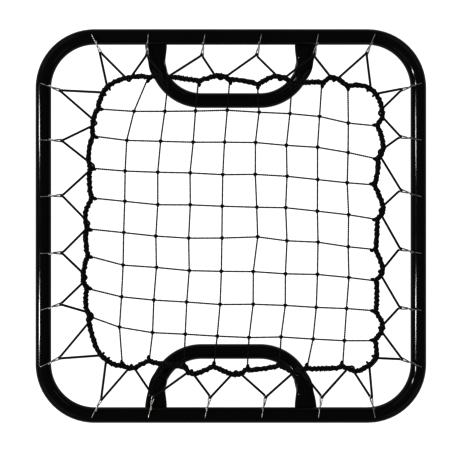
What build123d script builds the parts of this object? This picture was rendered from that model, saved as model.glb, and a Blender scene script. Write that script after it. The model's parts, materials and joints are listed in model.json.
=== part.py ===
"""Pitch back rebounder: a square tube frame that stands on, or is held by, two bent U legs,
with a knotted net hung inside it on an elastic cord and 24 wire hooks.

Row frame: X across, Y up the frame, Z out of the playing face. The origin is on the floor
under the middle of the frame, which lies on the crossbars of its two legs. Millimetres.
"""
from build123d import *
from math import cos, radians, sin, sqrt, tan
import os

# --- frame tube ---------------------------------------------------------------------------
TUBE_R = 12.5            # 25 mm round tube
TUBE_WALL = 1.5
FRAME_HALF_X = 307.5     # centre line of the side tubes
FRAME_HALF_Y = 310.0     # centre line of the top and bottom tubes
CORNER_CLR = 84.0        # centre-line radius of the corner bends, over 3 tube diameters

# --- legs ---------------------------------------------------------------------------------
LEG_HALF_X = 124.5       # centre line of the two arms
LEG_TILT = 25.0          # degrees that a leg slopes down from the plane of the frame
LEG_CLR = 74.0           # centre-line radius of its two bends
LEG_REACH = 95.0         # from the frame tube's axis in to the crossbar's axis
TAB_WIDTH = 36.0         # flattened end of the arm, under the frame tube
TAB_THICK = 9.0
TAB_FLAT = 27.0          # width of the flat on the tab's faces
TAB_CROWN = 0.01         # the flats bulge this much, so that each side is one arc
TAB_OUT = 10.0           # how far the tab reaches outside the frame tube's axis
TAB_IN = 8.0             # and inside it, where the arm bends down
FLARE = ((0.45, 0.12), (0.95, 0.42))   # share of the straight arm, and how round it is there
ROUND_SPREAD = 38.0      # degrees from its middle to the end of a round section's top arc
ROUND_AT = 26.0          # angle into the bend at which the tube is fully round again

# --- fasteners, M6 ------------------------------------------------------------------------
BOLT_R = 3.0
BOLT_CLEAR_R = 3.3
HEAD_R = 5.25
HEAD_H = 3.3
SOCKET_AF = 4.0
SOCKET_DEPTH = 2.2
WASHER_R = 6.0
WASHER_T = 1.6
NUT_R = 4.5
NUT_BORE_R = 3.05
NUT_LENGTH = 10.0
NUT_COLLAR_R = 6.0
NUT_COLLAR_H = 2.5
NUT_COLLAR_GAP = 0.4     # from the tube's inner wall to the collar

# --- wire hooks ---------------------------------------------------------------------------
HOOK_PITCH = 92.0
HOOK_WIRE_R = 0.85
HOOK_LENGTH = 34.5       # from the hole to the end of the eye
HOOK_HOLE_R = 2.25
HOOK_HOLE_OUT = 1.0      # the holes lie just outside the crown line
HOOK_ABOVE = 2.4         # wire's axis above the crown, so that the hook can tilt
HOOK_TAIL = 8.0          # depth of the tail below the crown, inside the tube
TAIL_TURN = 3.0          # the tail's end is turned this far, so that it can't pull out
HOOK_BEND_R = 1.5
EYE_LENGTH = 14.0
EYE_HALF = 2.35          # from the hook's middle to the wire's axis beside the eye
EYE_TAPER = 3.0          # length in which the eye opens to its full width
EYE_GAP = 0.2            # between the wire's end and the shank

# --- net, rope and cord -------------------------------------------------------------------
ROPE_R = 3.5
CORD_R = 1.4
CORD_GAP = 0.1           # between the cord and what it turns round
CORD_BEND_R = 1.8        # where the cord leaves an eye
CORD_FOOT_R = 3.0        # where it turns on the rope
ROPE_BEND_R = 12.0
TWINE_R = 0.8
KNOT_R = 2.3
KNOT_HEIGHT = 3.0
MESH_LINES = 8           # twines each way
MESH_ROW_LEFT = (190.0, -48.6)     # first row's height at the left rope, and the step
MESH_ROW_RIGHT = (165.0, -50.2)
MESH_COLUMN_TOP = (-156.0, 49.8)   # first column's place at the first row, and the step
MESH_COLUMN_BOTTOM = (-180.0, 52.3)

LEG_PIN_DROP = TUBE_R + TAB_THICK / 2
CROSSBAR_DROP = LEG_PIN_DROP + (LEG_REACH - TAB_IN) * tan(radians(LEG_TILT))
FRAME_Z = TUBE_R + CROSSBAR_DROP           # the crossbars lie on the floor
CROWN_Z = FRAME_Z + TUBE_R
NET_Z = CROWN_Z + HOOK_ABOVE
CORD_ON_ROPE_Z = ROPE_R + CORD_R + CORD_GAP     # above the net plane
CORD_ROUND_WIRE = HOOK_WIRE_R + CORD_R + CORD_GAP

# Border rope of the net, clockwise from its top left corner. It is pulled out at each pair of
# cord loops and slack between them.
ROPE_ROUTE = [
    (-205, 220), (-187, 234), (-158, 242), (-107, 244), (-70, 238), (-42, 239), (-18, 244),
    (15, 236), (45, 233), (74, 243), (110, 233), (146, 235), (166, 241), (190, 230),
    (222, 225), (240, 206), (246, 180), (241, 162), (247, 128), (240, 100), (236, 65),
    (247, 28), (238, 2), (237, -36), (246, -72), (238, -92), (237, -135), (246, -163),
    (237, -186), (233, -216), (206, -235), (184, -231), (134, -232), (104, -237),
    (78, -229), (30, -235), (6, -241), (-28, -231), (-62, -240), (-85, -228), (-135, -222),
    (-163, -231), (-198, -220), (-219, -195), (-234, -140), (-236, -104), (-240, -84),
    (-235, -44), (-236, 18), (-229, 46), (-231, 110), (-226, 150), (-221, 182), (-212, 205)]

# Each side: direction along it, direction out of the net, shift of its hooks along it, how
# far each eye stands along the side from its hole, and the two points on the rope where the
# cord from each eye lands.
SIDES = {
    "top": {
        "along": (1, 0), "out": (0, 1), "shift": 4.0,
        "lean": [15, -2, -5, -8, -7, -14],
        "feet": [(-201, 227), (-172, 241), (-162, 244), (-112, 245), (-102, 245), (-27, 245),
                 (-8, 243), (72, 245), (88, 243), (160, 243), (175, 241), (225, 226)]},
    "right": {
        "along": (0, -1), "out": (1, 0), "shift": -1.5,
        "lean": [11, -5, -10, -7, -4, -13],
        "feet": [(238, 217), (247, 192), (247, 176), (248, 127), (246, 111), (248, 34),
                 (246, 16), (247, -67), (246, -82), (248, -158), (245, -172), (236, -213)]},
    "bottom": {
        "along": (-1, 0), "out": (0, -1), "shift": -4.0,
        "lean": [7, -5, -6, -8, -8, -16],
        "feet": [(226, -228), (199, -240), (187, -239), (117, -240), (102, -242), (19, -243),
                 (1, -244), (-58, -243), (-72, -240), (-154, -234), (-167, -233), (-204, -223)]},
    "left": {
        "along": (0, 1), "out": (-1, 0), "shift": 1.5,
        "lean": [15, 10, 1, 2, -1, -12],
        "feet": [(-215, -213), (-231, -158), (-236, -141), (-242, -93), (-243, -76), (-240, -5),
                 (-240, 12), (-236, 87), (-236, 105), (-232, 161), (-229, 174), (-210, 216)]},
}
HOOKS_PER_SIDE = 6

os.makedirs("parts", exist_ok=True)


def save(part, name):
    """Labels a finished piece and writes it under its node name."""
    part.label = name
    export_step(part, "parts/" + name + ".step")


def bolt_points():
    """The four places where a leg's tab is bolted under the frame tube."""
    return [(x, y) for x in (-LEG_HALF_X, LEG_HALF_X) for y in (-FRAME_HALF_Y, FRAME_HALF_Y)]


def hook_place(side, index):
    """A hook's hole on the crown, and the unit direction from it to the eye."""
    facts = SIDES[side]
    along = Vector(*facts["along"], 0)
    out = Vector(*facts["out"], 0)
    half = FRAME_HALF_Y if facts["out"][1] else FRAME_HALF_X
    middle = (HOOKS_PER_SIDE - 1) / 2
    hole = along * (facts["shift"] + (index - middle) * HOOK_PITCH) + out * (half + HOOK_HOLE_OUT)
    lean = facts["lean"][index]
    reach = along * lean - out * sqrt(HOOK_LENGTH ** 2 - lean ** 2)
    return hole, reach.normalized()


# --- frame tube ---------------------------------------------------------------------------
with BuildPart() as frame_tube:
    with BuildLine(Plane.XY.offset(FRAME_Z)) as frame_path:
        FilletPolyline(
            (FRAME_HALF_X, FRAME_HALF_Y), (FRAME_HALF_X, -FRAME_HALF_Y),
            (-FRAME_HALF_X, -FRAME_HALF_Y), (-FRAME_HALF_X, FRAME_HALF_Y),
            radius=CORNER_CLR, close=True)
    with BuildSketch(Plane(origin=frame_path.line @ 0, z_dir=frame_path.line % 0)):
        Circle(TUBE_R)
        Circle(TUBE_R - TUBE_WALL, mode=Mode.SUBTRACT)
    sweep(path=frame_path.line)
    hole_centres = [hook_place(side, i)[0] for side in SIDES for i in range(HOOKS_PER_SIDE)]
    with BuildSketch(Plane.XY.offset(CROWN_Z + 1)):
        with Locations(*hole_centres):
            Circle(HOOK_HOLE_R)
    extrude(amount=-TUBE_WALL - 3, mode=Mode.SUBTRACT)
    with BuildSketch(Plane.XY.offset(FRAME_Z - TUBE_R - 1)):
        with Locations(*bolt_points()):
            Circle(NUT_R)
    extrude(amount=TUBE_WALL + 4, mode=Mode.SUBTRACT)
save(frame_tube.part, "frame_tube")


# --- legs ---------------------------------------------------------------------------------
SLOPE = Vector(0, -cos(radians(LEG_TILT)), -sin(radians(LEG_TILT)))
ACROSS = Vector(1, 0, 0)
ARM_TOP = Vector(0, FRAME_HALF_Y - TAB_IN, FRAME_Z - LEG_PIN_DROP)
ARM_STRAIGHT = (LEG_REACH - TAB_IN) / cos(radians(LEG_TILT)) - LEG_CLR
BEND_X = LEG_HALF_X - LEG_CLR


def arm_point(angle):
    """A point on the arm's bend, by angle from where the bend begins, and its direction."""
    turn = radians(angle)
    place = ARM_TOP + SLOPE * (ARM_STRAIGHT + LEG_CLR * sin(turn))
    place += ACROSS * (BEND_X + LEG_CLR * cos(turn))
    return place, SLOPE * cos(turn) - ACROSS * sin(turn)


def arm_section(plane, roundness, inset):
    """The arm's outline: a flat-sided tab at roundness 0, a circle at 1, inset for the bore."""
    r = TUBE_R - inset
    spread = radians(ROUND_SPREAD)
    x_flat = (TAB_FLAT / 2) * (1 - roundness) + r * sin(spread) * roundness
    y_flat = (TAB_THICK / 2 - inset) * (1 - roundness) + r * cos(spread) * roundness
    x_side = (TAB_WIDTH / 2 - inset) * (1 - roundness) + r * roundness
    y_top = (TAB_THICK / 2 - inset + TAB_CROWN) * (1 - roundness) + r * roundness
    with BuildSketch(plane) as section:
        with BuildLine():
            ThreePointArc((x_flat, -y_flat), (x_side, 0), (x_flat, y_flat))
            ThreePointArc((x_flat, y_flat), (0, y_top), (-x_flat, y_flat))
            ThreePointArc((-x_flat, y_flat), (-x_side, 0), (-x_flat, -y_flat))
            ThreePointArc((-x_flat, -y_flat), (0, -y_top), (x_flat, -y_flat))
        make_face()
    return section.sketch


def arm_planes():
    """Section planes from the tab down to where the arm is round, with their roundness."""
    top = ARM_TOP + ACROSS * LEG_HALF_X
    fold = (SLOPE + Vector(0, -1, 0)).normalized()
    planes = [(Plane(origin=top, x_dir=ACROSS, z_dir=fold), 0.0)]
    for share, roundness in FLARE:
        place = top + SLOPE * (ARM_STRAIGHT * share)
        planes.append((Plane(origin=place, x_dir=ACROSS, z_dir=SLOPE), roundness))
    place, heading = arm_point(ROUND_AT)
    side = SLOPE * sin(radians(ROUND_AT)) + ACROSS * cos(radians(ROUND_AT))
    planes.append((Plane(origin=place, x_dir=side, z_dir=heading), 1.0))
    return planes


def arm_half(inset):
    """Half of a leg, solid: its tab, its flare and its bend, up to the crossbar's middle."""
    with BuildPart() as half:
        tab_end = ARM_TOP + ACROSS * LEG_HALF_X + Vector(0, TAB_IN + TAB_OUT, 0)
        back = Plane(origin=tab_end, x_dir=ACROSS, z_dir=(0, -1, 0))
        planes = arm_planes()
        loft([arm_section(back, 0.0, inset), arm_section(*planes[0], inset)], ruled=True)
        loft([arm_section(plane, roundness, inset) for plane, roundness in planes])
        round_start = arm_point(ROUND_AT)
        bend_middle = arm_point((ROUND_AT + 90) / 2)
        bend_end = arm_point(90)
        with BuildLine() as bend:
            ThreePointArc(round_start[0], bend_middle[0], bend_end[0])
            Line(bend_end[0], bend_end[0] - ACROSS * BEND_X)
        with BuildSketch(Plane(origin=round_start[0], z_dir=round_start[1])):
            Circle(TUBE_R - inset)
        sweep(path=bend.line)
    return half.part


outer_half = arm_half(0)
inner_half = arm_half(TUBE_WALL)
for leg_name, turned in (("upper_leg", 0), ("lower_leg", 180)):
    with BuildPart() as leg:
        add(outer_half, rotation=(0, 0, turned))
        add(inner_half, rotation=(0, 0, turned), mode=Mode.SUBTRACT)
        mirror(about=Plane.YZ)
        with BuildSketch(Plane.XY.offset(FRAME_Z)):
            with Locations(*bolt_points()):
                Circle(BOLT_CLEAR_R)
        extrude(amount=-LEG_PIN_DROP - TAB_THICK, mode=Mode.SUBTRACT)
    save(leg.part, leg_name)


# --- leg fasteners ------------------------------------------------------------------------
TAB_UNDER_Z = FRAME_Z - TUBE_R - TAB_THICK
HEAD_TOP_Z = TAB_UNDER_Z - WASHER_T
with BuildPart() as leg_washers:
    with BuildSketch(Plane.XY.offset(TAB_UNDER_Z)):
        with Locations(*bolt_points()):
            Circle(WASHER_R)
            Circle(BOLT_CLEAR_R, mode=Mode.SUBTRACT)
    extrude(amount=-WASHER_T)
save(leg_washers.part, "leg_washers")

with BuildPart() as leg_bolts:
    with BuildSketch(Plane.XY.offset(HEAD_TOP_Z)):
        with Locations(*bolt_points()):
            Circle(HEAD_R)
    extrude(amount=-HEAD_H)
    fillet(leg_bolts.edges().filter_by(GeomType.CIRCLE).group_by(Axis.Z)[0], HEAD_H * 0.6)
    with BuildSketch(Plane.XY.offset(HEAD_TOP_Z - HEAD_H)):
        with Locations(*bolt_points()):
            RegularPolygon(SOCKET_AF / 2, 6, major_radius=False)
    extrude(amount=SOCKET_DEPTH, mode=Mode.SUBTRACT)
    with BuildSketch(Plane.XY.offset(HEAD_TOP_Z)):
        with Locations(*bolt_points()):
            Circle(BOLT_R)
    extrude(amount=WASHER_T + TAB_THICK + NUT_LENGTH)
save(leg_bolts.part, "leg_bolts")

COLLAR_Z = FRAME_Z - sqrt(TUBE_R ** 2 - WASHER_R ** 2) + TUBE_WALL + NUT_COLLAR_GAP
with BuildPart() as rivet_nuts:
    with BuildSketch(Plane.XY.offset(FRAME_Z - TUBE_R)):
        with Locations(*bolt_points()):
            Circle(NUT_R)
    extrude(amount=NUT_LENGTH)
    with BuildSketch(Plane.XY.offset(COLLAR_Z)):
        with Locations(*bolt_points()):
            Circle(NUT_COLLAR_R)
    extrude(amount=NUT_COLLAR_H)
    with BuildSketch(Plane.XY.offset(FRAME_Z - TUBE_R)):
        with Locations(*bolt_points()):
            Circle(NUT_BORE_R)
    extrude(amount=NUT_LENGTH, mode=Mode.SUBTRACT)
save(rivet_nuts.part, "rivet_nuts")


# --- wire hooks ---------------------------------------------------------------------------
def make_hook(side, index):
    """One bent wire: a tail in the tube, a shank over its crown and an eye for the cord."""
    hole, heading = hook_place(side, index)
    stand = Plane(origin=(hole.X, hole.Y, CROWN_Z), x_dir=heading, z_dir=(0, 0, 1))
    eye_start = HOOK_LENGTH - EYE_LENGTH
    with BuildPart() as hook:
        with BuildLine(stand) as wire:
            FilletPolyline(
                (TAIL_TURN, 0, -HOOK_TAIL), (0, 0, -HOOK_TAIL + TAIL_TURN), (0, 0, HOOK_ABOVE),
                (eye_start, 0, HOOK_ABOVE), (eye_start + EYE_TAPER, EYE_HALF, HOOK_ABOVE),
                (HOOK_LENGTH, EYE_HALF, HOOK_ABOVE), (HOOK_LENGTH, -EYE_HALF, HOOK_ABOVE),
                (eye_start + EYE_TAPER, -EYE_HALF, HOOK_ABOVE),
                (eye_start + HOOK_WIRE_R, -2 * HOOK_WIRE_R - EYE_GAP, HOOK_ABOVE),
                radius=[HOOK_BEND_R] * 4 + [EYE_HALF - EYE_GAP] * 2 + [HOOK_WIRE_R + EYE_GAP])
        with BuildSketch(Plane(origin=wire.line @ 0, z_dir=wire.line % 0)):
            Circle(HOOK_WIRE_R)
        sweep(path=wire.line)
    return hook.part


for side in SIDES:
    for index in range(HOOKS_PER_SIDE):
        save(make_hook(side, index), "hook_" + side + "_" + str(index + 1))


# --- border rope --------------------------------------------------------------------------
with BuildPart() as border_rope:
    with BuildLine(Plane.XY.offset(NET_Z)) as rope_path:
        FilletPolyline(*ROPE_ROUTE, radius=ROPE_BEND_R, close=True)
    with BuildSketch(Plane(origin=rope_path.line @ 0, z_dir=rope_path.line % 0)):
        Circle(ROPE_R)
    sweep(path=rope_path.line)
save(border_rope.part, "border_rope")


# --- elastic cord -------------------------------------------------------------------------
def cord_route(side):
    """Along the rope, out to each hook, round the wire of its eye, and back to the rope."""
    feet = SIDES[side]["feet"]
    route = []
    for index in range(HOOKS_PER_SIDE):
        hole, heading = hook_place(side, index)
        eye = hole + heading * HOOK_LENGTH
        near = eye + heading * CORD_ROUND_WIRE
        far = eye - heading * CORD_ROUND_WIRE
        first, last = feet[2 * index], feet[2 * index + 1]
        route.append((first[0], first[1], CORD_ON_ROPE_Z))
        route.append((near.X, near.Y, CORD_ROUND_WIRE))
        route.append((far.X, far.Y, CORD_ROUND_WIRE))
        route.append((far.X, far.Y, -CORD_ROUND_WIRE))
        route.append((near.X, near.Y, -CORD_ROUND_WIRE))
        route.append((last[0], last[1], CORD_ON_ROPE_Z))
    turn = CORD_ROUND_WIRE - CORD_GAP
    radii = [CORD_BEND_R, turn, turn, CORD_BEND_R, CORD_FOOT_R, CORD_FOOT_R] * HOOKS_PER_SIDE
    return route, radii[:len(route) - 2]


for side in SIDES:
    route, radii = cord_route(side)
    with BuildPart() as cord:
        with BuildLine(Plane.XY.offset(NET_Z)) as cord_path:
            FilletPolyline(*route, radius=radii)
        with BuildSketch(Plane(origin=cord_path.line @ 0, z_dir=cord_path.line % 0)):
            Circle(CORD_R)
        sweep(path=cord_path.line)
    print("shock_cord_" + side, "length", round(cord_path.wires()[0].length))
    save(cord.part, "shock_cord_" + side)


# --- net ----------------------------------------------------------------------------------
ROPE_LEFT = -231.0
ROPE_RIGHT = 239.0
ROPE_TOP = 236.0
ROPE_BOTTOM = -230.0


def mesh_row(index):
    """The left and right ends of a twine that runs across."""
    left = MESH_ROW_LEFT[0] + MESH_ROW_LEFT[1] * index
    right = MESH_ROW_RIGHT[0] + MESH_ROW_RIGHT[1] * index
    return Vector(ROPE_LEFT, left, NET_Z), Vector(ROPE_RIGHT, right, NET_Z)


def mesh_column(index):
    """The top and bottom ends of a twine that runs down, through its places at two rows."""
    x_top = MESH_COLUMN_TOP[0] + MESH_COLUMN_TOP[1] * index
    x_bottom = MESH_COLUMN_BOTTOM[0] + MESH_COLUMN_BOTTOM[1] * index
    y_top = (MESH_ROW_LEFT[0] + MESH_ROW_RIGHT[0]) / 2
    y_bottom = y_top + (MESH_ROW_LEFT[1] + MESH_ROW_RIGHT[1]) / 2 * (MESH_LINES - 1)
    slope = (x_bottom - x_top) / (y_bottom - y_top)
    top = Vector(x_top + slope * (ROPE_TOP - y_top), ROPE_TOP, NET_Z)
    bottom = Vector(x_bottom + slope * (ROPE_BOTTOM - y_bottom), ROPE_BOTTOM, NET_Z)
    return top, bottom


def crossing(row, column):
    """Where a row and a column of the net are knotted."""
    (a, b), (c, d) = mesh_row(row), mesh_column(column)
    ab, cd, ac = b - a, d - c, c - a
    share = (ac.X * cd.Y - ac.Y * cd.X) / (ab.X * cd.Y - ab.Y * cd.X)
    return a + ab * share


def twine(start, end):
    """One straight twine of the net, as a solid of its own."""
    with BuildPart() as strand:
        with BuildSketch(Plane(origin=start, z_dir=(end - start).normalized())):
            Circle(TWINE_R)
        extrude(amount=(end - start).length)
    return strand.part


knots = [crossing(row, column) for row in range(MESH_LINES) for column in range(MESH_LINES)]
twines = [twine(*mesh_row(i)) for i in range(MESH_LINES)]
twines += [twine(*mesh_column(i)) for i in range(MESH_LINES)]
with BuildPart() as net_mesh:
    with Locations(*knots):
        Cylinder(KNOT_R, KNOT_HEIGHT)
    add(twines)
save(net_mesh.part, "net_mesh")
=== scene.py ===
import json
from math import cos, pi, radians, sin

import bpy
import numpy as np
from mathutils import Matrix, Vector


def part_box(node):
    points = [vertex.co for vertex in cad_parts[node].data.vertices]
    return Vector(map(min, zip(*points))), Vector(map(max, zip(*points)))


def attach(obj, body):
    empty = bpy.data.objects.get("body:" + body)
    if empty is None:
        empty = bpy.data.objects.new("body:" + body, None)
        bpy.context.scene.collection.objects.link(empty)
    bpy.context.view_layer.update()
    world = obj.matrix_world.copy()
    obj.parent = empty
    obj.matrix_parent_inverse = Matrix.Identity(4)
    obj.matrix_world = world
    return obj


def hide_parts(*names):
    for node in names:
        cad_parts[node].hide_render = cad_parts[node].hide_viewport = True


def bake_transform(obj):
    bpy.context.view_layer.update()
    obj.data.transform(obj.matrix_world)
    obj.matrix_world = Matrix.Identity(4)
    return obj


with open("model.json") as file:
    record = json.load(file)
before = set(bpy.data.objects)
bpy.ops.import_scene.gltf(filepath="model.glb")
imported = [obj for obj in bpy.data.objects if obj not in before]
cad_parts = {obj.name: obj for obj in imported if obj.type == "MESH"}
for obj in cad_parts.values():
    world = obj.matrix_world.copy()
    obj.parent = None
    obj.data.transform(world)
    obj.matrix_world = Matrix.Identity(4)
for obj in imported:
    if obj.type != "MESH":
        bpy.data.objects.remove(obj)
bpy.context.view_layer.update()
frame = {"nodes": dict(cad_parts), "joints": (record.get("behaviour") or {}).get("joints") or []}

# Pitch back rebounder, as seen from above: the CAD tubes and fasteners get their paint, and the
# net, its rope, the elastic cords and the wire hooks are made here again as laid strands, tied
# knots and bent wire. Lengths are millimetres, and metres for the stage, the lamps and the camera.

MM = 0.001
UP = np.array([0, 0, 1.0])
FINE_SIDES = 6            # of a thin twine's tube
ROUND_SIDES = 10          # of a strand's, a cord's or a wire's
FIBRE_UNIT = 10.0         # length along a tube in which its fibre coordinate grows by one

# ---------------------------------------------------------------- driving sizes, millimetres
# Border rope
ROPE_STRANDS = 3
ROPE_STRAND_R = 2.05
ROPE_STRAND_OUT = 2.0     # from the rope's axis to a strand's
ROPE_WIDTH_R = ROPE_STRAND_R + ROPE_STRAND_OUT
ROPE_LAY = 24.0           # length in which a strand goes once round
ROPE_STEP = 1.2           # between the points of the rope's line
ROPE_SWAY = 0.6           # how far the slack rope rises and falls
ROPE_CUSP = 4.2           # how far a line of the net pulls the rope in
ROPE_CUSP_REACH = 5.0     # and how quickly the pull fades along the rope
LASH_R = 0.75             # twine wound round the rope to hold the meshes
LASH_TURNS = 150

# Net
MESH_LINES = 8
TWINE_PLIES = 2
TWINE_PLY_R = 0.68
TWINE_LAY = 6.5
TWINE_STEP = 0.8
KNOT_SIZE = 2.6           # half the width of a tied knot
KNOT_TWINE_R = 1.0
TIE_TWINE_R = 0.6         # the two turns that hold a mesh on the rope
TIE_WIDTH = 3.2
TIE_KNOT_SIZE = 2.5
TIE_KNOT_TWINE_R = 0.95

# Elastic cord
CORD_R = 1.7
CORD_STEP = 0.8
CORD_SIDEWAYS = 1.6       # the cord crosses an eye at a slant, this far to each side
CORD_KNOT_SIZE = 2.3
# Where the cord leaves and meets the rope, in degrees round it from the side away from the net.
FOOT_ABOVE = 70
FOOT_BELOW = 290
FIRST_END = 100
LAST_END = 260

# Wire hooks
HOOKS_PER_SIDE = 6
WIRE_R = 1.0
HOOK_LENGTH = 36.0        # from the hole to the end of the eye
HOOK_TAIL = 8.0           # how far the tail goes down inside the tube
HOOK_TAIL_TURN = 3.0      # and the length of its turned end
HOOK_RISE = 2.4           # the hook wire's axis above the crown of the tube
EYE_HALF = 1.85
EYE_NECK = 25.0           # from the hole to where the eye begins to open
EYE_STRAIGHT = 4.5        # from the eye's end back to where its bend begins

# How far out the rope lies on each side, and how far each line of the net leans between its last
# knot and that distance.
NET_REACH = {"top": 238, "bottom": -231, "left": -231, "right": 240}
NET_LEANS = {"top": (22, 6, 5, 4, -3, 4, 4, -1), "bottom": (5, -7, -2, -6, -3, -3, -10, -3),
             "left": (5, 8, 5, 6, 6, 15, 13, 18), "right": (-5, -11, -4, -8, -5, -6, -4, 0)}
# Knots that hang visibly out of line, by row and column.
KNOT_SHIFTS = {(4, 4): (4.5, 5), (3, 4): (4.5, 0.5), (0, 0): (1, -4), (0, 1): (1, -1.5),
               (1, 0): (-3.5, -0.5), (1, 1): (-1, -1.5), (2, 0): (-1.5, 0)}

NET_Z = (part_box("border_rope")[0][2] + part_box("border_rope")[1][2]) / 2 / MM
FRAME_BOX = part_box("frame_tube")
TUBE_MID_Z = (FRAME_BOX[0][2] + FRAME_BOX[1][2]) / 2

# The border rope's route, the one that the CAD model has, clockwise from the top left corner.
ROPE_ROUTE = [
    (-205, 220), (-187, 234), (-158, 242), (-107, 244), (-70, 238), (-42, 239), (-18, 244),
    (15, 236), (45, 233), (74, 243), (110, 233), (146, 235), (166, 241), (190, 230),
    (222, 225), (240, 206), (246, 180), (241, 162), (247, 128), (240, 100), (236, 65),
    (247, 28), (238, 2), (237, -36), (246, -72), (238, -92), (237, -135), (246, -163),
    (237, -186), (233, -216), (206, -235), (184, -231), (134, -232), (104, -237),
    (78, -229), (30, -235), (6, -241), (-28, -231), (-62, -240), (-85, -228), (-135, -222),
    (-163, -231), (-198, -220), (-219, -195), (-234, -140), (-236, -104), (-240, -84),
    (-235, -44), (-236, 18), (-229, 46), (-231, 110), (-226, 150), (-221, 182), (-212, 205)]

# Where each side's elastic cord leaves and meets the rope, a pair of places to each hook.
CORD_FEET = {
    "top": [(-201, 227), (-172, 241), (-162, 244), (-112, 245), (-102, 245), (-27, 245),
            (-8, 243), (72, 245), (88, 243), (160, 243), (175, 241), (225, 226)],
    "right": [(238, 217), (247, 192), (247, 176), (248, 127), (246, 111), (248, 34),
              (246, 16), (247, -67), (246, -82), (248, -158), (245, -172), (236, -213)],
    "bottom": [(226, -228), (199, -240), (187, -239), (117, -240), (102, -242), (19, -243),
               (1, -244), (-58, -243), (-72, -240), (-154, -234), (-167, -233), (-204, -223)],
    "left": [(-215, -213), (-231, -158), (-236, -141), (-242, -93), (-243, -76), (-240, -5),
             (-240, 12), (-236, 87), (-236, 105), (-232, 161), (-229, 174), (-210, 216)]}


# ---------------------------------------------------------------- shader nodes
class Shader:
    """A material under construction, with short calls for the nodes that it uses."""

    def __init__(self, name, slot_name):
        self.material = bpy.data.materials.new(name)
        self.material.use_nodes = True
        self.tree = self.material.node_tree
        self.bsdf = self.tree.nodes["Principled BSDF"]
        self.slot_name = slot_name

    def node(self, kind, **settings):
        made = self.tree.nodes.new(kind)
        for key, value in settings.items():
            setattr(made, key, value)
        return made

    def link(self, source, target):
        self.tree.links.new(source, target)

    def set(self, **values):
        for key, value in values.items():
            self.bsdf.inputs[key.replace("_", " ")].default_value = value

    def place(self, scale=(1, 1, 1), uv=False):
        """Object or fibre coordinates, scaled."""
        mapping = self.node("ShaderNodeMapping")
        mapping.inputs["Scale"].default_value = scale
        if uv:
            source = self.node("ShaderNodeUVMap", uv_map="fibre").outputs["UV"]
        else:
            source = self.node("ShaderNodeTexCoord").outputs["Object"]
        self.link(source, mapping.inputs["Vector"])
        return mapping.outputs["Vector"]

    def noise(self, where, scale, detail=3.0, rough=0.5):
        made = self.node("ShaderNodeTexNoise")
        made.inputs["Scale"].default_value = scale
        made.inputs["Detail"].default_value = detail
        made.inputs["Roughness"].default_value = rough
        self.link(where, made.inputs["Vector"])
        return made.outputs["Fac"]

    def range(self, value, low, high, to_low, to_high):
        made = self.node("ShaderNodeMapRange")
        for key, number in (("From Min", low), ("From Max", high),
                            ("To Min", to_low), ("To Max", to_high)):
            made.inputs[key].default_value = number
        self.link(value, made.inputs["Value"])
        return made.outputs["Result"]

    def math(self, operation, a, b=None):
        made = self.node("ShaderNodeMath", operation=operation)
        for socket, value in zip(made.inputs, (a, b)):
            if isinstance(value, (int, float)):
                socket.default_value = value
            elif value is not None:
                self.link(value, socket)
        return made.outputs[0]

    def mix(self, factor, a, b):
        made = self.node("ShaderNodeMix", data_type="RGBA")
        self.link(factor, made.inputs["Factor"])
        made.inputs["A"].default_value = (*a, 1)
        made.inputs["B"].default_value = (*b, 1)
        return made.outputs["Result"]

    def bump(self, height, strength, distance, under=None):
        made = self.node("ShaderNodeBump")
        made.inputs["Strength"].default_value = strength
        made.inputs["Distance"].default_value = distance
        self.link(height, made.inputs["Height"])
        if under is not None:
            self.link(under, made.inputs["Normal"])
        return made.outputs["Normal"]


def powder_coat():
    """Gloss black powder coat: a faint orange peel, fine rubs and a little dust."""
    s = Shader("powder_coat", "black_tube")
    where = s.place()
    cloud = s.noise(where, 26, 4)
    peel = s.noise(where, 620, 2)
    rubs = s.noise(s.place((35, 35, 900)), 1.0, 4, 0.7)
    dust = s.range(s.noise(where, 210, 5, 0.75), 0.62, 0.8, 0.0, 1.0)
    s.link(s.mix(s.math("MULTIPLY", dust, 0.35), (0.0025, 0.0026, 0.0036), (0.014, 0.014, 0.016)),
           s.bsdf.inputs["Base Color"])
    gloss = s.range(cloud, 0.35, 0.7, 0.09, 0.14)
    scuffed = s.math("ADD", gloss, s.math("MULTIPLY", s.range(rubs, 0.62, 0.75, 0, 1), 0.10))
    s.link(scuffed, s.bsdf.inputs["Roughness"])
    s.link(s.bump(peel, 0.03, 0.0002), s.bsdf.inputs["Normal"])
    s.set(IOR=1.35, Specular_IOR_Level=0.27)
    return s


def hook_wire():
    """Drawn wire, dulled in places, with brownish handling marks."""
    s = Shader("hook_wire", "hook_wire")
    where = s.place()
    stain = s.range(s.noise(where, 190, 4, 0.65), 0.42, 0.66, 0, 1)
    s.link(s.mix(stain, (0.28, 0.27, 0.26), (0.12, 0.105, 0.095)), s.bsdf.inputs["Base Color"])
    s.link(s.range(s.noise(where, 420, 3), 0.3, 0.7, 0.32, 0.5), s.bsdf.inputs["Roughness"])
    s.link(s.bump(s.noise(where, 1500, 2), 0.15, 0.0001), s.bsdf.inputs["Normal"])
    s.set(Metallic=1.0)
    return s


def zinc_plate():
    """Zinc plated steel, with the faint yellow and blue bloom of its passivation."""
    s = Shader("zinc_plate", "zinc_steel")
    where = s.place()
    bloom = s.range(s.noise(where, 130, 3), 0.35, 0.65, 0, 1)
    s.link(s.mix(bloom, (0.60, 0.61, 0.66), (0.68, 0.65, 0.56)), s.bsdf.inputs["Base Color"])
    s.link(s.range(s.noise(where, 600, 4), 0.3, 0.7, 0.25, 0.42), s.bsdf.inputs["Roughness"])
    s.link(s.bump(s.noise(where, 900, 2), 0.2, 0.0001), s.bsdf.inputs["Normal"])
    s.set(Metallic=1.0)
    return s


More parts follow.
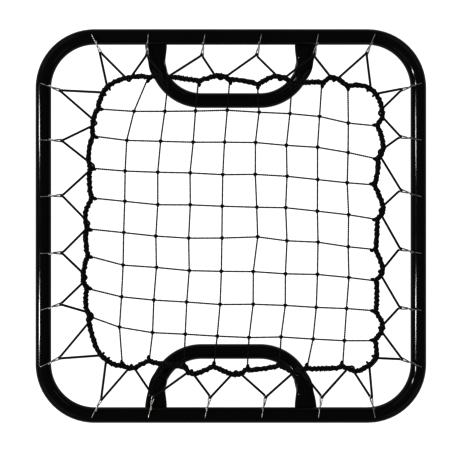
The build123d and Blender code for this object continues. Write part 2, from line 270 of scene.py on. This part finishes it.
SOFT_SHEEN = {"Sheen_Weight": 0.02, "Sheen_Roughness": 0.4, "Specular_IOR_Level": 0.16}


def fibre(name, slot_name, dark, light, filaments):
    """Twisted filaments: fine ridges along each strand, slightly uneven in tone."""
    s = Shader(name, slot_name)
    along = s.place((filaments, 12, 1), uv=True)
    ridge = s.noise(along, 1.0, 2, 0.6)
    tone = s.range(s.noise(s.place(), 140, 3), 0.3, 0.7, 0, 1)
    s.link(s.mix(s.math("MULTIPLY", tone, ridge), dark, light), s.bsdf.inputs["Base Color"])
    s.link(s.range(ridge, 0.3, 0.7, 0.48, 0.72), s.bsdf.inputs["Roughness"])
    s.link(s.bump(ridge, 0.5, 0.0003), s.bsdf.inputs["Normal"])
    s.set(**SOFT_SHEEN)
    return s


def braid():
    """Braided cover of the elastic cord: crossing bundles, from two sets of diagonal waves."""
    s = Shader("braided_cover", "elastic_cord")
    split = s.node("ShaderNodeSeparateXYZ")
    s.link(s.place(uv=True), split.inputs[0])
    bundles, pitch = 4, 0.22
    around = s.math("MULTIPLY", split.outputs["X"], bundles * 2 * pi)
    along = s.math("MULTIPLY", split.outputs["Y"], 2 * pi / pitch)
    one = s.math("SINE", s.math("ADD", around, along))
    other = s.math("SINE", s.math("SUBTRACT", around, along))
    weave = s.math("MULTIPLY", s.math("ADD", s.math("MULTIPLY", one, other), 1.0), 0.5)
    s.link(s.mix(weave, (0.0015, 0.0015, 0.0018), (0.006, 0.006, 0.0065)),
           s.bsdf.inputs["Base Color"])
    s.link(s.range(s.noise(s.place(), 500, 2), 0.3, 0.7, 0.5, 0.68), s.bsdf.inputs["Roughness"])
    s.link(s.bump(weave, 0.6, 0.0003), s.bsdf.inputs["Normal"])
    s.set(**SOFT_SHEEN)
    return s


def light_table():
    """Plain white floor, lit from below like a product table, so that shadows stay faint."""
    s = Shader("pale_floor", None)
    tone = s.noise(s.place(), 3, 2)
    s.link(s.mix(tone, (0.09, 0.09, 0.09), (0.11, 0.11, 0.11)), s.bsdf.inputs["Base Color"])
    s.set(Roughness=0.9, Specular_IOR_Level=0.0, Emission_Color=(1, 1, 1, 1),
          Emission_Strength=0.97)
    return s


PAINT = powder_coat()
WIRE = hook_wire()
ZINC = zinc_plate()
TWINE = fibre("net_twine", "net_twine", (0.0015, 0.0015, 0.0018), (0.0065, 0.0065, 0.007),
              filaments=6)
ROPE = fibre("rope_strand", "net_rope", (0.0015, 0.0015, 0.002), (0.007, 0.007, 0.008),
             filaments=14)
CORD = braid()


# ---------------------------------------------------------------- path and mesh helpers
def unit(v):
    """A vector, or each row of several, at length one."""
    return v / np.maximum(np.linalg.norm(v, axis=-1, keepdims=True), 1e-9)


def resample(path, step, closed=False):
    """Points at even steps along a polyline, in its own units."""
    line = np.vstack([path, path[:1]]) if closed else path
    reach = np.concatenate([[0], np.cumsum(np.linalg.norm(np.diff(line, axis=0), axis=1))])
    count = max(int(round(reach[-1] / step)), 2)
    marks = np.linspace(0, reach[-1], count + 1)
    if closed:
        marks = marks[:-1]
    return np.stack([np.interp(marks, reach, line[:, k]) for k in range(3)], axis=1)


def soften(path, rounds, closed=False):
    """Rounds a polyline's corners by averaging neighbours."""
    p = path.copy()
    for _ in range(rounds):
        before, after = np.roll(p, 1, axis=0), np.roll(p, -1, axis=0)
        q = (before + 2 * p + after) / 4
        if not closed:
            q[0], q[-1] = p[0], p[-1]
        p = q
    return p


def smooth_loop(points, per_span):
    """A closed curve through its points, with an even tangent at each (Catmull-Rom)."""
    p = np.array(points, float)
    a, b, c, d = np.roll(p, 1, 0), p, np.roll(p, -1, 0), np.roll(p, -2, 0)
    rows = []
    for t in np.linspace(0, 1, per_span, endpoint=False):
        rows.append(0.5 * (2 * b + (c - a) * t + (2 * a - 5 * b + 4 * c - d) * t ** 2
                           + (3 * b - a - 3 * c + d) * t ** 3))
    return np.stack(rows, axis=1).reshape(-1, p.shape[1])


def frames(path, closed=False):
    """Tangent and two side directions at each point, turning as little as possible."""
    if closed:
        tangent = unit(np.roll(path, -1, 0) - np.roll(path, 1, 0))
    else:
        tangent = unit(np.gradient(path, axis=0))
    side = np.zeros_like(path)
    first = np.cross(tangent[0], (0, 0, 1.0))
    if np.linalg.norm(first) < 0.1:
        first = np.cross(tangent[0], (1.0, 0, 0))
    side[0] = first / np.linalg.norm(first)
    for i in range(1, len(path)):
        v = side[i - 1] - tangent[i] * side[i - 1].dot(tangent[i])
        side[i] = v / np.linalg.norm(v)
    return tangent, side, np.cross(tangent, side)


def twisted(path, out, lay, phase, closed=False):
    """The centre line of one strand laid round a path."""
    _, side, up = frames(path, closed)
    steps = np.linalg.norm(np.diff(path, axis=0), axis=1)
    reach = np.concatenate([[0], np.cumsum(steps)])
    turns = max(round(reach[-1] / lay), 1)
    angle = phase + 2 * pi * turns * reach / (reach[-1] + (steps[-1] if closed else 0))
    return path + out * (np.cos(angle)[:, None] * side + np.sin(angle)[:, None] * up)


def tube(path, radius, sides, closed=False):
    """Vertices, faces and fibre coordinates of a tube along a path, in metres."""
    tangent, side, up = frames(path, closed)
    n = len(path)
    angle = np.linspace(0, 2 * pi, sides, endpoint=False)
    ring = (np.cos(angle)[None, :, None] * side[:, None]
            + np.sin(angle)[None, :, None] * up[:, None])
    r = np.broadcast_to(np.asarray(radius, float), (n,))[:, None, None]
    verts = (path[:, None] + ring * r).reshape(-1, 3)
    spans = n if closed else n - 1
    i = np.arange(spans)[:, None]
    j = np.arange(sides)[None, :]
    i2, j2 = (i + 1) % n, (j + 1) % sides
    if closed:
        # the frame comes back turned, so the last ring joins the first with the nearest match
        shift = int(round(np.arctan2(side[-1].dot(up[0]), side[-1].dot(side[0]))
                          / (2 * pi / sides)))
        last = (i == n - 1)
    else:
        shift, last = 0, np.zeros_like(i, bool)
    ja = np.where(last, (j + shift) % sides, j)
    jb = np.where(last, (j2 + shift) % sides, j2)
    quads = np.stack(np.broadcast_arrays(i * sides + j, i * sides + j2, i2 * sides + jb,
                                         i2 * sides + ja), axis=-1).reshape(-1, 4)
    reach = np.concatenate([[0], np.cumsum(np.linalg.norm(np.diff(path, axis=0), axis=1))])
    reach = np.append(reach, reach[-1] + reach[1]) / FIBRE_UNIT
    u0, u1 = j / sides, (j + 1) / sides
    v0, v1 = reach[i], reach[i + 1]
    uv = np.stack([np.stack(np.broadcast_arrays(u, v), -1)
                   for u, v in ((u0, v0), (u1, v0), (u1, v1), (u0, v1))], axis=2).reshape(-1, 2)
    caps = []
    if not closed:
        caps = [list(range(sides))[::-1], list(range((n - 1) * sides, n * sides))]
    return verts * MM, quads, uv, caps


def make_piece(name, tubes, shader):
    """One smooth mesh object from several tubes."""
    verts, faces, uvs, start = [], [], [], 0
    for v, quads, uv, caps in tubes:
        faces.extend((quads + start).tolist())
        uvs.append(uv)
        for cap in caps:
            faces.append([k + start for k in cap])
            uvs.append(np.zeros((len(cap), 2)))
        verts.append(v)
        start += len(v)
    mesh = bpy.data.meshes.new(name)
    mesh.from_pydata(np.vstack(verts).tolist(), [], faces)
    layer = mesh.uv_layers.new(name="fibre")
    layer.data.foreach_set("uv", np.vstack(uvs).astype(np.float32).ravel())
    mesh.polygons.foreach_set("use_smooth", [True] * len(mesh.polygons))
    mesh.materials.append(shader.material)
    mesh.update()
    piece = bpy.data.objects.new(name, mesh)
    bpy.context.scene.collection.objects.link(piece)
    return piece


def trefoil(centre, along, size, radius):
    """A small tied knot: a closed trefoil of twine lying across the net."""
    t = np.linspace(0, 2 * pi, 40, endpoint=False)
    x = np.sin(t) + 2 * np.sin(2 * t)
    y = np.cos(t) - 2 * np.cos(2 * t)
    z = -np.sin(3 * t) * 0.8
    flow = unit(np.array([along[0], along[1], 0.0]))
    cross = np.array([-flow[1], flow[0], 0.0])
    path = centre + size / 3 * (x[:, None] * flow + y[:, None] * cross + z[:, None] * UP)
    return tube(path, radius, FINE_SIDES, closed=True)


# ---------------------------------------------------------------- the net's grid and the rope
def knot_places():
    """The knots by row and column: an even grid, pulled out of square by its slack lacing.

    u runs across and v down the net, both from -1 to 1. Each power of them bends the grid as a
    whole by the millimetres in front of it, and the sines shift single knots a little."""
    places = np.zeros((MESH_LINES, MESH_LINES, 3))
    middle = (MESH_LINES - 1) / 2
    for row in range(MESH_LINES):
        for column in range(MESH_LINES):
            u, v = (column - middle) / middle, (row - middle) / middle
            x = (11.9 + 183.6 * u - v + 3.7 * u * v - 3.2 * u * u - 3.5 * u * v * v
                 - 1.8 * u ** 3 - 6.7 * v ** 3)
            y = (5.1 - 4.6 * u - 184.5 * v - 1.7 * u * u - 1.8 * v * v + 5.9 * u * u * v
                 - 5.9 * u ** 3 + 1.8 * v ** 3)
            x += 1.1 * sin(3.1 * row + 5.3 * column)
            y += 1.1 * sin(4.7 * row + 2.3 * column + 1)
            places[row, column] = (x, y, NET_Z)
    for (row, column), shift in KNOT_SHIFTS.items():
        places[row, column, :2] += shift
    return places


def cross_at(a, b, c, d):
    """Where the lines ab and cd meet."""
    r, s = b - a, d - c
    share = ((c - a)[0] * s[1] - (c - a)[1] * s[0]) / (r[0] * s[1] - r[1] * s[0])
    return a + r * share


def rope_end(path, inner, outer):
    """Where a twine going from inner out through outer meets the rope."""
    rope = path[:, :2]
    behind, beside = -20, 3       # only rope points ahead of this and this near the line count
    ahead = unit(outer - inner)
    best = None
    for k in range(len(rope)):
        c, d = rope[k], rope[(k + 1) % len(rope)]
        rel = rope[k] - outer
        if rel.dot(ahead) < behind or abs(rel[0] * ahead[1] - rel[1] * ahead[0]) > beside:
            continue
        at = cross_at(inner, outer, c, d)
        if best is None or np.linalg.norm(at - outer) < np.linalg.norm(best - outer):
            best = at
    return np.array([best[0], best[1], NET_Z])


KNOTS = knot_places()


def mesh_end(path, side, index):
    """Where a line of the net meets the rope on one side, from its outermost knot."""
    lean, reach = NET_LEANS[side][index], NET_REACH[side]
    if side in ("top", "bottom"):
        knot = KNOTS[0 if side == "top" else -1, index, :2]
        target = np.array([knot[0] + lean, reach])
    else:
        knot = KNOTS[index, 0 if side == "left" else -1, :2]
        target = np.array([reach, knot[1] + lean])
    return rope_end(path, 2 * knot - target, knot)


def rope_line():
    """The rope's centre line, evenly stepped, at the net's height, with its slack sway."""
    loop = smooth_loop(ROPE_ROUTE, per_span=12)
    waves = 17
    sway = ROPE_SWAY * np.sin(np.linspace(0, 2 * pi * waves, len(loop), endpoint=False))
    return resample(np.column_stack([loop, NET_Z + sway]), ROPE_STEP, closed=True)


def outward(path):
    """The level direction away from the net at each point of the rope."""
    along = unit(np.roll(path, -1, 0) - np.roll(path, 1, 0))
    return unit(np.column_stack([-along[:, 1], along[:, 0], np.zeros(len(path))]))


def pulled_in(path):
    """The rope with a small inward cusp wherever a line of the net is tied on."""
    pull = np.zeros(len(path))
    for side in NET_REACH:
        for index in range(MESH_LINES):
            end = mesh_end(path, side, index)
            gap = np.linalg.norm(path[:, :2] - end[:2], axis=1)
            pull = np.maximum(pull, ROPE_CUSP * np.exp(-gap / ROPE_CUSP_REACH))
    return path - outward(path) * pull[:, None]


ROPE_PATH = pulled_in(rope_line())
ROPE_TANGENT = unit(np.roll(ROPE_PATH, -1, 0) - np.roll(ROPE_PATH, 1, 0))
ROPE_OUTWARD = outward(ROPE_PATH)


def nearest_on_rope(point):
    """Index of the rope's point that is nearest to a place in the net's plane."""
    return int(np.argmin(np.linalg.norm(ROPE_PATH[:, :2] - np.array(point)[:2], axis=1)))


def around_rope(centre, out, angle, radius):
    """Places round the rope at an angle from the side away from the net."""
    return centre + radius * (np.cos(angle)[:, None] * out + np.sin(angle)[:, None] * UP)


def border_rope():
    """Laid strands that swell and thin a little along their length."""
    strands = []
    for k in range(ROPE_STRANDS):
        phase = 2 * pi * k / ROPE_STRANDS
        line = twisted(ROPE_PATH, ROPE_STRAND_OUT, ROPE_LAY, phase, closed=True)
        swells = 61 + 8 * k
        thickness = 1 + 0.07 * np.sin(np.linspace(0, 2 * pi * swells, len(line)))
        strands.append(tube(line, ROPE_STRAND_R * thickness, ROUND_SIDES, closed=True))
    rope = make_piece("border_rope_strands", strands, ROPE)
    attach(rope, "net")
    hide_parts("border_rope")


def rope_lashing():
    """A twine wound round the rope, closer in some places than in others."""
    n = len(ROPE_PATH)
    points = 3 * n
    share = np.arange(points) / points
    angle = 2 * pi * (LASH_TURNS * share + 1.1 * np.sin(2 * pi * 11 * share)
                      + 0.5 * np.sin(2 * pi * 27 * share))
    at = share * n
    low = np.floor(at).astype(int) % n
    part = (at - np.floor(at))[:, None]
    centre = ROPE_PATH[low] * (1 - part) + ROPE_PATH[(low + 1) % n] * part
    path = around_rope(centre, ROPE_OUTWARD[low], angle, ROPE_WIDTH_R + 0.15)
    lash = make_piece("rope_lashing", [tube(path, LASH_R, FINE_SIDES, closed=True)], TWINE)
    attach(lash, "net")


# ---------------------------------------------------------------- net
def twine_through(start, knots, end):
    """One twine of the net from rope to rope, bending slightly at each knot."""
    return soften(resample(np.vstack([start, knots, end]), TWINE_STEP), rounds=6)


def mesh_tie(end):
    """A twine's end: two turns round the rope and a knot just inside it."""
    at = nearest_on_rope(end)
    t = np.linspace(0, 1, 44)
    angle = pi + 2 * 2 * pi * t
    grip = ROPE_WIDTH_R + 0.3
    forward = (t - 0.5) * TIE_WIDTH
    centre = ROPE_PATH[at] + forward[:, None] * ROPE_TANGENT[at]
    path = around_rope(centre, ROPE_OUTWARD[at], angle, grip)
    knot = ROPE_PATH[at] - ROPE_OUTWARD[at] * (grip + 1.0)
    return [tube(path, TIE_TWINE_R, FINE_SIDES),
            trefoil(knot, ROPE_TANGENT[at], TIE_KNOT_SIZE, TIE_KNOT_TWINE_R)]


def net():
    """The crossing twines, each laid from two plies, with their ties and their knots."""
    tubes = []
    for first, last, lines in (("left", "right", KNOTS),
                               ("top", "bottom", KNOTS.transpose(1, 0, 2))):
        for k, row in enumerate(lines):
            line = twine_through(mesh_end(ROPE_PATH, first, k), row,
                                 mesh_end(ROPE_PATH, last, k))
            for ply in range(TWINE_PLIES):
                phase = 2 * pi * ply / TWINE_PLIES + 0.7 * k
                strand = twisted(line, TWINE_PLY_R * 0.85, TWINE_LAY, phase)
                tubes.append(tube(strand, TWINE_PLY_R, FINE_SIDES))
            for end in (line[0], line[-1]):
                tubes.extend(mesh_tie(end))
    for row in range(MESH_LINES):
        for column in range(MESH_LINES):
            turn = 0.4 * sin(row * 2.3 + column * 1.7)
            tubes.append(trefoil(KNOTS[row, column], (cos(turn), sin(turn)), KNOT_SIZE,
                                 KNOT_TWINE_R))
    net_piece = make_piece("net_twine", tubes, TWINE)
    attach(net_piece, "net")
    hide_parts("net_mesh")


# ---------------------------------------------------------------- elastic cord
def joint_named(name):
    """One joint from the frame's list."""
    return next(j for j in frame["joints"] if j["name"] == name)


def eye_of(side, index):
    """A hook's hole, the middle of the wire at the end of its eye, and the way it points."""
    joint = joint_named("tilt_%s_%d" % (side, index + 1))
    hole = np.array(joint["pos_m"]) / MM
    axis = joint["axis"]
    heading = np.array([axis[1], -axis[0], 0.0])
    eye = hole + heading * HOOK_LENGTH
    eye[2] = NET_Z
    return hole, eye, heading


def wrap(first, last, start, stop, grip):
    """Cord turning round the rope from one foot to the next."""
    a, b = nearest_on_rope(first), nearest_on_rope(last)
    n = len(ROPE_PATH)
    gap = (b - a + n // 2) % n - n // 2
    t = np.linspace(0, 1, 40)
    at = a + gap * t
    low = np.floor(at).astype(int) % n
    step = ROPE_PATH[(low + 1) % n] - ROPE_PATH[low]
    centre = ROPE_PATH[low] + (at - np.floor(at))[:, None] * step
    return around_rope(centre, ROPE_OUTWARD[low], np.radians(start + (stop - start) * t), grip)


def cord_path(side):
    """One side's cord: round the rope, out to an eye, round its wire and back, six times."""
    feet = CORD_FEET[side]
    grip = ROPE_WIDTH_R + CORD_R + 0.1
    round_wire = WIRE_R + CORD_R + 0.15
    path = list(wrap(feet[0], feet[0], FIRST_END, FOOT_BELOW, grip))
    for index in range(HOOKS_PER_SIDE):
        _, eye, heading = eye_of(side, index)
        arrive = np.array([*feet[2 * index], NET_Z]) - eye
        across = np.array([-heading[1], heading[0], 0.0])
        beside = across * (CORD_SIDEWAYS if arrive.dot(across) > 0 else -CORD_SIDEWAYS)
        for degrees in range(80, 281, 20):
            path.append(eye + beside * cos(radians((degrees - 80) * 0.9))
                        + round_wire * (cos(radians(degrees)) * heading
                                        + sin(radians(degrees)) * UP))
        if index < HOOKS_PER_SIDE - 1:
            path.extend(wrap(feet[2 * index + 1], feet[2 * index + 2], FOOT_ABOVE, FOOT_BELOW,
                             grip))
    path.extend(wrap(feet[-1], feet[-1], FOOT_ABOVE, LAST_END, grip))
    return soften(resample(np.array(path), CORD_STEP), rounds=3)


def shock_cord(side):
    """The cord with a knot at each end, running between the frame's hooks and the net's rope."""
    path = cord_path(side)
    tubes = [tube(path, CORD_R, ROUND_SIDES)]
    for end in (path[0], path[-1]):
        tubes.append(trefoil(end + 0.8 * UP, (0.6, 0.8), CORD_KNOT_SIZE, CORD_R * 0.95))
    cord = make_piece("elastic_cord_" + side, tubes, CORD)
    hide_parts("shock_cord_" + side)
    holes = np.mean([eye_of(side, i)[0] for i in range(HOOKS_PER_SIDE)], axis=0)
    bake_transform(cord)


# ---------------------------------------------------------------- wire hooks
def hook_line():
    """The bent wire in its own plane: tail, shank, and an eye whose free end lies by the shank."""
    rise, bend = HOOK_RISE, HOOK_LENGTH - EYE_STRAIGHT
    tail = [(HOOK_TAIL_TURN, 0, -HOOK_TAIL), (0, 0, -HOOK_TAIL), (0, 0, rise)]
    shank = [(17.0, 0, rise), (21.0, 0, rise + 0.3), (EYE_NECK, 1.0, rise), (bend, EYE_HALF, rise)]
    eye = [(HOOK_LENGTH - EYE_HALF + EYE_HALF * cos(radians(degrees)),
            EYE_HALF * sin(radians(degrees)), rise) for degrees in range(75, -76, -15)]
    free_end = [(bend, -EYE_HALF, rise), (EYE_NECK, -1.1, rise + 0.1), (21.5, -0.9, rise + 0.8),
                (19.5, 0.6, rise + 1.8), (17.0, 1.7, rise + 0.9), (13.0, 1.75, rise + 0.2)]
    corners = np.array(tail + shank + eye + free_end, float)
    return soften(resample(corners, 0.5), rounds=5)


def hooks():
    """One wire in each hole, its free end on one side of the shank or the other."""
    line = hook_line()
    for side in CORD_FEET:
        for index in range(HOOKS_PER_SIDE):
            hole, _, heading = eye_of(side, index)
            across = np.array([-heading[1], heading[0], 0.0])
            flip = 1 if sin(7.3 * index + len(side)) > 0 else -1
            foot = np.array([hole[0], hole[1], NET_Z - HOOK_RISE])
            path = foot + line[:, :1] * heading + flip * line[:, 1:2] * across + line[:, 2:] * UP
            name = "hook_%s_%d" % (side, index + 1)
            piece = make_piece(name + "_wire", [tube(path, WIRE_R, ROUND_SIDES)], WIRE)
            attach(piece, name)
            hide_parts(name)


# ---------------------------------------------------------------- CAD nodes that stay
def paint_nodes():
    """Gives each CAD node that stays in view its material."""
    for name, node in frame["nodes"].items():
        if name in ("frame_tube", "upper_leg", "lower_leg"):
            shader = PAINT
        elif name in ("leg_bolts", "leg_washers", "rivet_nuts"):
            shader = ZINC
        else:
            continue
        node.data.materials.clear()
        node.data.materials.append(shader.material)


# ---------------------------------------------------------------- stage, lights, camera
def floor():
    """A large square that the object lies on."""
    half = 40.0
    corners = [(-half, -half, 0), (half, -half, 0), (half, half, 0), (-half, half, 0)]
    mesh = bpy.data.meshes.new("floor")
    mesh.from_pydata(corners, [], [(0, 1, 2, 3)])
    mesh.materials.append(light_table().material)
    obj = bpy.data.objects.new("floor", mesh)
    bpy.context.scene.collection.objects.link(obj)


def area_light(name, place, size, power, colour=(1, 1, 1)):
    """A rectangular lamp that faces the middle of the frame."""
    data = bpy.data.lights.new(name, "AREA")
    data.shape = "RECTANGLE"
    data.size, data.size_y = size
    data.energy = power
    data.color = colour
    obj = bpy.data.objects.new(name, data)
    bpy.context.scene.collection.objects.link(obj)
    obj.location = place
    facing = Vector((0, 0, TUBE_MID_Z)) - Vector(place)
    obj.rotation_euler = facing.to_track_quat("-Z", "Y").to_euler()


def studio():
    """Four large soft lamps, and two far ones to the left whose thin highlights run down the
    side tubes."""
    out, above = 2.4, 2.2
    for name, x, y in (("corner_a", -out, out), ("corner_b", out, out), ("corner_c", out, -out),
                       ("corner_d", -out, -out)):
        area_light(name, (x, y, above), size=(2.2, 2.2), power=24)
    area_light("far_near", (-4.60, -0.80, 3.92), size=(0.50, 1.9), power=330,
               colour=(1, 0.97, 0.93))
    area_light("far_beyond", (-4.60, 0.84, 3.92), size=(0.46, 1.9), power=240,
               colour=(1, 0.99, 0.97))
    world = bpy.data.worlds.new("studio")
    world.use_nodes = True
    background = world.node_tree.nodes["Background"]
    background.inputs["Color"].default_value = (1, 1, 1, 1)
    background.inputs["Strength"].default_value = 0.6
    bpy.context.scene.world = world


def camera():
    """Looks straight down on the net, from just left of its middle."""
    data = bpy.data.cameras.new("camera")
    data.sensor_width = 36
    data.lens = 62.2
    obj = bpy.data.objects.new("camera", data)
    bpy.context.scene.collection.objects.link(obj)
    obj.location = (-0.0080, 0.0, TUBE_MID_Z + 1.281)
    bpy.context.scene.camera = obj


camera()
paint_nodes()
border_rope()
rope_lashing()
net()
hooks()
for cord_side in CORD_FEET:
    shock_cord(cord_side)
floor()
studio()
bpy.context.scene.view_settings.view_transform = "Standard"
bpy.context.scene.view_settings.gamma = 0.62
